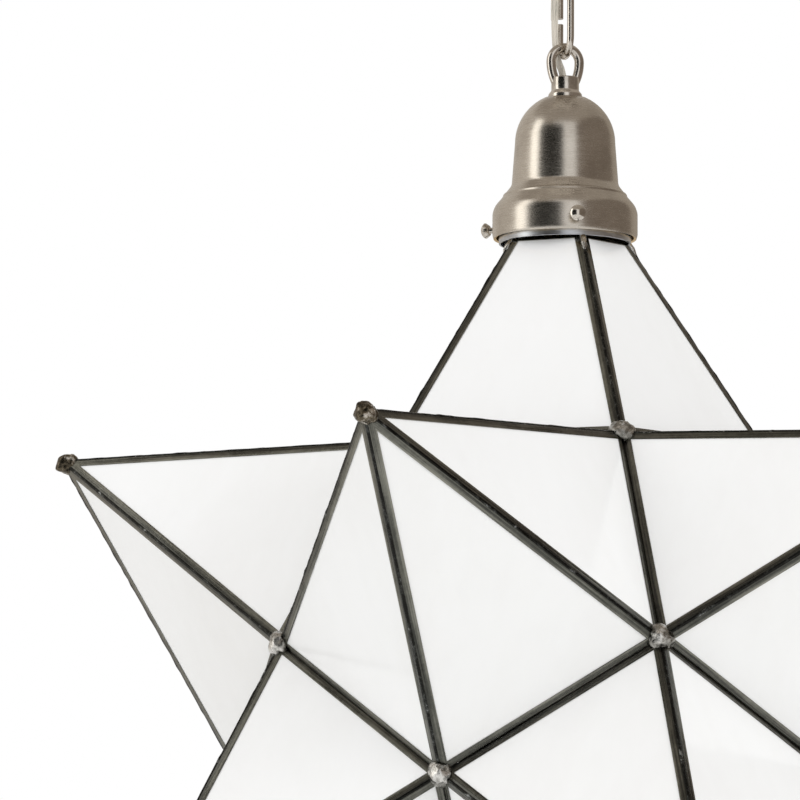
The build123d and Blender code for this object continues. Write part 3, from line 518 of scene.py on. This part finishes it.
nickel_light, nickel_stain = (0.66, 0.61, 0.55), (0.45, 0.41, 0.36)
loop_plate = plated("loop_plate", nickel_light, nickel_stain, 0.2, (1, 1, 1), 0.00005)
base_plate = plated("base_plate", nickel_light, nickel_stain, 0.2, (1, 1, 0.2), 0.0002, (12.5, 1.4))
ceiling_loop = turned(
    "ceiling_loop_cast", 64,
    (0.4, -38), (6, -38, 0.5), (6, -34, 0.7), (11.9, -34), (12.7, -33.2), (12.7, -18.8), (11.9, -18),
    (0.4, -18), end="capped",
)
ceiling_eye = set_down(cast_eye("ceiling_eye"), (0, 0, -38), (math.pi, 0, math.radians(107)))
melted(ceiling_loop, ceiling_eye, "UNION")
melted(ceiling_loop, turned("wire_hole", 32, (3, -41), (3, -24), end="capped"), "DIFFERENCE")
melted(ceiling_loop, turned("tapped_hole", 40, (5.15, -25), (5.15, -17), end="capped"), "DIFFERENCE")
bpy.ops.object.shade_smooth_by_angle(angle=math.radians(32))
settled(ceiling_loop, "ceiling_fitting", "polished_nickel", base_plate, "canopy_loop")

# ---------------------------------------------------------------- canopy
# A cup drawn from 1 mm sheet with an upright skirt, pressed through the middle for the ceiling
# loop and plated like it. It hides the ceiling box and drops to the chain when its nut is undone.
canopy_plate = plated("canopy_plate", nickel_light, nickel_stain, 0.24, (1, 1, 0.08), 0.00001)
canopy = turned(
    "canopy_cup", 144,
    (63.5, 0), (63.5, -9, 2.3), (24, -25, 2.4), (13, -25),
)
finished(canopy, "SOLIDIFY", thickness=1 * mm, offset=-1, use_even_offset=True)
softened(canopy, 0.25, 50)
bpy.ops.object.shade_smooth_by_angle(angle=math.radians(32))
settled(canopy, "canopy", "brushed_nickel", canopy_plate, "canopy")

# ---------------------------------------------------------------- ring nut
# Turned from brass bar, plated, with a wider foot that bears on the canopy. It is tapped for the
# ceiling loop's base and run up by hand until the foot just meets the canopy.
ring_nut = turned(
    "ring_nut_turned", 96,
    (12.75, -25.06), (12.75, -32), (15.3, -32, 0.2), (16.5, -30.8, 0.3), (16.5, -27, 0.3),
    (18.5, -27, 0.4), (18.5, -25.06, 0.3), end="ring",
)
settled(ring_nut, "canopy_collar", "polished_nickel", canopy_plate, "canopy_collar")

# ---------------------------------------------------------------- chain
# Four oval links cut and bent from 3 mm plated wire. The ends are butted, not welded, and each
# link has been sprung open and shut to hang the next, which leaves a small gap in one leg.
wire, bend, half_leg, half_gap = 1.5, 8, 8.75, 1.15
bent_link = ring_of_edges("bent_link", 20, wire, bend, half_gap)
drawn_to_bend = {"value": (0, 0, (half_leg - half_gap) * mm)}
bpy.ops.mesh.extrude_region_move(TRANSFORM_OT_translate=drawn_to_bend)
bpy.ops.mesh.spin(steps=24, angle=math.pi, center=(0, 0, half_leg * mm), axis=(0, 1, 0))
for _ in range(6):
    bpy.ops.mesh.extrude_region_move(TRANSFORM_OT_translate={"value": (0, 0, -half_leg / 3 * mm)})
bpy.ops.mesh.spin(steps=24, angle=math.pi, center=(0, 0, -half_leg * mm), axis=(0, 1, 0))
bpy.ops.mesh.extrude_region_move(TRANSFORM_OT_translate=drawn_to_bend)
bpy.ops.mesh.select_all(action="SELECT")
bpy.ops.mesh.remove_doubles(threshold=0.001 * mm)
bpy.ops.mesh.fill_holes(sides=0)
turn_outwards()
softened(bent_link, 0.25, 60)
bpy.ops.object.shade_smooth_by_angle(angle=math.radians(40))
link_plate = plated("link_plate", nickel_light, nickel_stain, 0.2, (1, 1, 3), 0.00004)
for number, (height, turn) in enumerate(((-64.25, 17), (-94.55, 287), (-124.85, 197), (-155.15, 107)), 1):
    link = set_down(copied(f"link_{number}_bent", bent_link), (0, 0, height), (0, 0, math.radians(turn)))
    settled(link, f"chain_link_{number}", "polished_nickel", link_plate, f"chain_link_{number}")
bpy.data.objects.remove(bent_link)

# ---------------------------------------------------------------- holder loop
# The same cast eye on a short neck with a flared flange, tapped from below for the lamp pipe. It
# clamps the bell against the locknut inside.
holder_loop = turned(
    "holder_loop_cast", 64,
    (0.4, -190.8), (7.3, -190.8, 0.3), (7.3, -188.9, 0.4), (6, -187.3, 0.5), (6, -181.4, 0.6),
    (0.4, -181.4), end="capped",
)
holder_eye = set_down(cast_eye("holder_eye"), (0, 0, -181.4), (0, 0, math.radians(17)))
melted(holder_loop, holder_eye, "UNION")
melted(holder_loop, turned("wire_hole", 32, (3, -186), (3, -178), end="capped"), "DIFFERENCE")
melted(holder_loop, turned("tapped_hole", 40, (5.15, -192), (5.15, -184.4), end="capped"), "DIFFERENCE")
bpy.ops.object.shade_smooth_by_angle(angle=math.radians(32))
settled(holder_loop, "pendant", "polished_nickel", loop_plate, "holder_loop")

# ---------------------------------------------------------------- bell holder
# Spun from sheet brass, 1.2 mm thick, brushed round its axis and nickel plated outside only. It
# has a domed body, a drawn-in waist and an upright rim, tapped in three places for the screws.
def arc(radius, height, start, stop, steps):
    """Rings on a ball with this radius and middle, from one angle above its middle to another."""
    turns = [math.radians(start + (stop - start) * step / steps) for step in range(steps + 1)]
    return [(radius * math.cos(turn), height + radius * math.sin(turn)) for turn in turns]


rim = -252.26
dome = arc(21.7, rim + 42, 0, 63.74, 12)
bell = turned(
    "bell_spun", 128,
    (30.85, rim), (31.35, rim + 1.5, 0.7), (31.35, rim + 12.9, 2.8), (27.0, rim + 18.0, 0.35),
    (26.7, rim + 19.2, 0.35), (25.8, rim + 19.7, 0.3), (23.1, rim + 23.2, 1.2), *dome, (5.4, dome[-1][1]),
)
finished(bell, "SOLIDIFY", thickness=1.2 * mm, offset=-1, use_even_offset=True)
softened(bell, 0.25, 50, 3)
screw_height, screw_turns = rim + 5.8, (8.5, 128.5, 248.5)
for turn in screw_turns:
    tap = turned("tap", 24, (1.35, 25), (1.35, 35), end="capped")
    melted(bell, set_down(tap, (0, 0, screw_height), (math.pi / 2, 0, math.radians(turn))), "DIFFERENCE")
bpy.ops.object.shade_smooth_by_angle(angle=math.radians(32))
brushed = plated("brushed_nickel", (0.62, 0.57, 0.505), (0.44, 0.395, 0.34), 0.26, (1, 1, 0.03), 0.00001)
settled(bell, "pendant", "brushed_nickel", brushed, "bell_holder")
bare_brass = plated("bare_brass", (0.74, 0.53, 0.26), (0.46, 0.30, 0.12), 0.34, (1, 1, 0.05), 0.00002)
bell.data.materials.append(bare_brass.material)
for face in bell.data.polygons:
    if face.normal.xy.dot(face.center.xy) < 0:
        face.material_index = 1

# ---------------------------------------------------------------- lamp pipe, locknut and socket
# Inside the bell a short threaded pipe carries a locknut and a glazed porcelain socket, with a
# brass screw shell, a spring contact and two terminal screws.
holder_pipe = turned(
    "holder_pipe_threaded", 40,
    (3.5, -201.5), (4.8, -201.5), (5.1, -201.1), (5.1, -184.8), (4.8, -184.4), (3.5, -184.4), end="ring",
)
settled(holder_pipe, "pendant", "plated_steel", pipe_thread, "holder_pipe")
settled(remade("holder_locknut", 0.25), "pendant", "plated_steel", zinc, "holder_locknut")
glaze = Paint("porcelain_glaze", Coat_Roughness=0.08, Roughness=0.25)
fired = glaze.noise(0.008, 4)
glaze.feed("Base Color", glaze.ramp(fired, (0.3, (0.74, 0.72, 0.68)), (0.7, (0.82, 0.81, 0.78))))
glaze.feed("Coat Weight", fired * 0.3 + 0.5)
glaze.bump(glaze.noise(0.004, 2), 0.00008, 0.5)
settled(remade("socket_body", 0.4, 40), "pendant", "porcelain", glaze, "socket_body")
brass_thread = threaded("brass_thread", (0.72, 0.53, 0.27), 3.6)
settled(remade("socket_shell", 0.05, 40), "pendant", "socket_brass", brass_thread, "socket_shell")
brass = plated("sheet_brass", (0.72, 0.53, 0.27), (0.45, 0.30, 0.13), 0.3, (1, 1, 1))
settled(remade("socket_contact", 0.1), "pendant", "socket_brass", brass, "socket_contact")
settled(remade("terminal_screws", 0.15, 40), "pendant", "screw_steel", zinc, "terminal_screws")

# ---------------------------------------------------------------- bulb
# A tubular bulb with a drawn aluminium screw base, a lead contact and frosted glass. It is slim
# enough to pass through the neck of the star and unscrews downwards.
frost = Paint("frosted_glass", Coat_Roughness=0.15, Roughness=0.45)
powder = frost.noise(0.003, 3)
frost.feed("Base Color", frost.ramp(powder, (0.3, (0.80, 0.80, 0.79)), (0.7, (0.86, 0.86, 0.85))))
frost.feed("Coat Weight", powder * 0.2 + 0.1)
frost.bump(powder, 0.00003, 0.4)
settled(remade("bulb_glass", 0.05, 40), "bulb", "bulb_glass", frost, "bulb_glass")
drawn = threaded("bulb_thread", (0.68, 0.69, 0.70), 3.6)
settled(remade("bulb_base", 0.2, 40), "bulb", "bulb_aluminium", drawn, "bulb_base")
lead = plated("contact_lead", (0.45, 0.45, 0.46), (0.28, 0.28, 0.29), 0.42, (1, 1, 1), 0.0001)
settled(remade("bulb_contact", 0.2, 40), "bulb", "bulb_lead", lead, "bulb_contact")

# ---------------------------------------------------------------- neck collar
# A turned ring of tinned brass with a bead round its top, soldered to the cut end of the star's
# top point. It stands inside the rim, and the screws catch under the bead.
tinned = plated("tinned_collar", (0.58, 0.60, 0.63), (0.36, 0.36, 0.36), 0.34, (1, 1, 0.1), 0.00003)
collar = turned(
    "collar_turned", 120,
    (27.775, -254.46), (28.575, -254.46, 0.15), (28.575, -242.86, 0.2), (29.575, -242.86, 0.3),
    (29.575, -241.26, 0.4), (27.775, -241.26), end="ring",
)
settled(collar, "pendant", "collar_metal", tinned, "shade_collar")

# ---------------------------------------------------------------- opal glass
# Sixty flat panes cut from machine-rolled opal sheet, 2.4 mm thick: milky, nearly neutral white
# with faint streaks and a soft waviness that shows only where the gloss catches the light.
opal = Paint("opal_sheet", Roughness=0.12, IOR=1.52, Coat_Roughness=0.03)
milk = opal.noise(0.09, 4, 0.55, (1, 1, 2.2), 0.6)
wisp = opal.noise(0.02, 5, 0.65, (0.5, 0.5, 3))
opal.feed(
    "Base Color",
    opal.ramp(milk * 0.75 + wisp * 0.25,
              (0.25, (0.865, 0.86, 0.85)), (0.5, (0.905, 0.905, 0.90)), (0.75, (0.93, 0.93, 0.93))),
)
opal.feed("Coat Weight", milk * 0.1 + 0.1)
opal.bump(opal.noise(0.03, 2, 0.4) + wisp * 0.1, 0.0004, 0.25)
for node in sorted(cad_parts):
    if node.endswith("_glass") and node != "bulb_glass":
        for pane_slot in bpy.data.objects[node].material_slots:
            pane_slot.material = opal.material

# ---------------------------------------------------------------- channel frames
# Each pane is framed in a folded sheet-brass channel, mitred at its corners, and two channels
# meet along every edge of the star. Patina wiped on along the channels after soldering blackens
# them in long streaks, darkest in the grooves.
turn_of_star, ring_rise = math.radians(15.7), math.atan(0.5)
ways = [Vector((0, 0, 1)), Vector((0, 0, -1))]
for step in range(5):
    for rise, start in ((ring_rise, 36), (-ring_rise, 0)):
        way = turn_of_star + math.radians(start + 72 * step)
        ways.append(Vector((math.cos(rise) * math.sin(way), -math.cos(rise) * math.cos(way), math.sin(rise))))
tip_radius, corner_radius = 245, 142.3
tips = [star_centre + way * tip_radius * mm for way in ways]
# a corner stands between three tips that are neighbours, and is kept with their places in tips
neighbours = 1.1
corners = [
    (three, star_centre + sum((ways[k] for k in three), Vector()).normalized() * corner_radius * mm)
    for three in itertools.combinations(range(12), 3)
    if all((ways[j] - ways[k]).length < neighbours for j, k in itertools.combinations(three, 2))
]

patina = Paint("black_patina", Metallic=1.0, Coat_Roughness=0.12)
across = patina.node("ShaderNodeAttribute", {"attribute_name": "across"}, output="Fac")
scale_along, scale_across, lighter_across = 25, 1300, 45
streak = patina.node(
    "ShaderNodeTexNoise",
    {"noise_dimensions": "4D"},
    {
        "Vector": patina.place((scale_along,) * 3), "W": across * scale_across,
        "Scale": 1.0, "Detail": 3, "Roughness": 0.5,
    },
)
wash = patina.noise(0.014, 5, 0.7)
fleck = patina.noise(0.0016, 4, 0.7)
patina.feed(
    "Base Color",
    patina.ramp(streak * 0.5 + wash * 0.2 + fleck * 0.1 + across * lighter_across,
                (0.32, (0.016, 0.016, 0.014)), (0.46, (0.088, 0.088, 0.074)), (0.62, (0.27, 0.265, 0.225))),
)
patina.feed("Roughness", streak * 0.3 + wash * 0.15 + 0.06)
patina.feed("Coat Weight", wash * 0.5 + 0.2)
patina.bump(streak * 0.5 + fleck * 0.5, 0.0005, 0.5)
# each vertex is marked with how far across its channel it lies, from the nearest edge of its point
longest_base = 120 * mm
for node in sorted(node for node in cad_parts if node.endswith("_came")):
    channel = remade(node, 0.42, 18, 3)
    middle = sum((Vector(corner) for corner in channel.bound_box), Vector()) / 8
    tip = min(tips, key=lambda tip: (tip - middle).length)
    feet = [corner for three, corner in corners if tips.index(tip) in three]
    edges = [(tip, foot) for foot in feet]
    edges += [pair for pair in itertools.combinations(feet, 2) if (pair[0] - pair[1]).length < longest_base]
    marks = channel.data.attributes.new("across", "FLOAT", "POINT")
    for vertex, mark in zip(channel.data.vertices, marks.data):
        mark.value = min((vertex.co - intersect_point_line(vertex.co, *edge)[0]).length for edge in edges)
    settled(channel, "pendant", "came", patina, node)

# ---------------------------------------------------------------- solder
# Lead-tin solder, run on by hand with an iron: a rough cap over each tip, a lump in each corner
# where six channel ends meet, and a drip down each ridge from the neck collar. A thin seam of it
# fills the groove along every ridge, and the patina has darkened all of it but the high spots.
def soldered(name, *stops):
    """Solder under patina, coloured by its stops from the pits to the rubbed high spots."""
    paint = Paint(name, Metallic=1.0)
    pits = paint.noise(0.0018, 5, 0.7)
    skin = paint.noise(0.006, 3)
    paint.feed("Base Color", paint.ramp(pits * 0.45 + skin * 0.55, *stops))
    paint.feed("Roughness", pits * 0.3 + 0.12)
    paint.bump(pits, 0.0004, 0.6)
    return paint


corner_metal = soldered(
    "corner_solder", (0.34, (0.10, 0.095, 0.08)), (0.47, (0.36, 0.35, 0.325)), (0.6, (0.80, 0.78, 0.75)),
)
tip_metal = soldered(
    "tip_solder", (0.40, (0.035, 0.03, 0.022)), (0.53, (0.14, 0.115, 0.08)), (0.62, (0.66, 0.61, 0.54)),
)
seam_metal = soldered(
    "seam_solder", (0.50, (0.02, 0.02, 0.018)), (0.59, (0.06, 0.062, 0.058)), (0.69, (0.48, 0.49, 0.49)),
)
lumpy = bpy.data.textures.new("lumpy", "CLOUDS")
lumpy.noise_scale = 4.5 * mm
pulled_in = 1.6  # towards the star's middle, for each mm that a blob has grown
for node, metal, grain, grown, lump in (
    ("tip_solder", tip_metal, 0.45, 1.1, 3.4), ("corner_solder", corner_metal, 0.6, 0.1, 2.8),
):
    blob = remade(node, 0.01, 60)
    finished(blob, "REMESH", mode="VOXEL", voxel_size=grain * mm)
    finished(blob, "SMOOTH", factor=0.6, iterations=5)
    finished(blob, "DISPLACE", strength=grown * mm, mid_level=0)
    for vertex in blob.data.vertices:
        vertex.co -= (vertex.co - star_centre).normalized() * grown * pulled_in * mm
    finished(blob, "DISPLACE", texture=lumpy, strength=lump * mm, mid_level=0.5)
    finished(blob, "SMOOTH", factor=0.5, iterations=2)
    bpy.ops.object.shade_smooth()
    settled(blob, "pendant", "solder", metal, node)


def fitted_in(side, out, along, place):
    """The matrix that gives a shape's three axes these ways and sizes, and its middle this place."""
    fitted = Matrix((side, out, along)).transposed().to_4x4()
    fitted.translation = place
    return fitted


def run_on(name, shape, fits):
    """Puts a copy of the shape at each fit and joins them all in one piece."""
    runs = [copied(name, shape) for _ in fits]
    for run, fit in zip(runs, fits):
        run.data.transform(fit)
    bpy.data.objects.remove(shape)
    picked(runs[0])
    for run in runs:
        run.select_set(True)
    bpy.ops.object.join()
    return runs[0]


# the seams, each a thin run of solder along a ridge from a tip, or from the neck, to a corner
stretches = 48
bpy.ops.mesh.primitive_cylinder_add(vertices=8, radius=0.8 * mm, depth=1, location=(0, 0, 0.5))
seam = bpy.context.object
bpy.ops.object.transform_apply(location=True, rotation=True, scale=True)
bpy.ops.object.mode_set(mode="EDIT")
for cut in range(1, stretches):
    bpy.ops.mesh.select_all(action="SELECT")
    bpy.ops.mesh.bisect(plane_co=(0, 0, cut / stretches), plane_no=(0, 0, 1))
bpy.ops.object.mode_set(mode="OBJECT")
neck_start, tip_start, corner_stop, seam_depth = 0.275, 0.03, 0.97, 0.95 * mm
fits = []
for three, corner in corners:
    for tip in (tips[k] for k in three):
        ridge = corner - tip
        down = ridge.normalized()
        away = (tip + corner) / 2 - star_centre
        away = (away - down * away.dot(down)).normalized()
        start = neck_start if tip == tips[0] else tip_start
        begin = tip + ridge * start - away * seam_depth
        fits.append(fitted_in(down.cross(away), away, ridge * (corner_stop - start), begin))
seams = run_on("seam_solder", seam, fits)
bpy.ops.object.mode_set(mode="EDIT")
turn_outwards()
finished(seams, "DISPLACE", texture=lumpy, strength=0.9 * mm, mid_level=0.5)
bpy.ops.object.shade_smooth_by_angle(angle=math.radians(50))
settled(seams, "pendant", "solder", seam_metal)

# the drips under the neck collar, one on each of the top point's ridges
bpy.ops.mesh.primitive_ico_sphere_add(subdivisions=4, radius=1)
drip = bpy.context.object
below_tip, drip_depth = 52.6 * mm, 0.5 * mm
fits = []
for three, corner in corners:
    if 0 in three:
        down = (corner - tips[0]).normalized()
        out = (corner - star_centre).normalized()
        out = (out - down * out.dot(down)).normalized()
        middle = tips[0] + down * below_tip - out * drip_depth
        fits.append(fitted_in(down.cross(out) * 1.3 * mm, out * 1.2 * mm, down * 5.6 * mm, middle))
drips = run_on("collar_drips", drip, fits)
finished(drips, "DISPLACE", texture=lumpy, strength=1.4 * mm, mid_level=0.5)
bpy.ops.object.shade_smooth()
settled(drips, "pendant", "solder", corner_metal, "collar_solder")

# ---------------------------------------------------------------- thumbscrews
# Three round-headed brass screws, turned, plated and polished. Each goes through the rim and
# stops just off the collar, under its bead.
screw_plate = plated("screw_plate", (0.72, 0.67, 0.60), nickel_stain, 0.16, (1, 1, 1), 0.00003)
crown = arc(4.174, -0.374, 33, 90, 9)[1:-1]
screw = turned(
    "screw_turned", 40,
    (0.9, -6.6), (1.3, -6.2), (1.3, 0, 0.1), (2.2, 0, 0.2), (3.5, 1.9, 0.35), *crown, (0.2, 3.8), end="point",
)
under_head = 35.235  # from the hanging axis
for number, turn in enumerate(screw_turns, 1):
    way = math.radians(turn)
    place = (under_head * math.sin(way), -under_head * math.cos(way), screw_height)
    fitted = set_down(copied(f"thumbscrew_{number}_turned", screw), place, (math.pi / 2, 0, way))
    settled(fitted, f"thumbscrew_{number}", "screw_steel", screw_plate, f"thumbscrew_{number}")
bpy.data.objects.remove(screw)
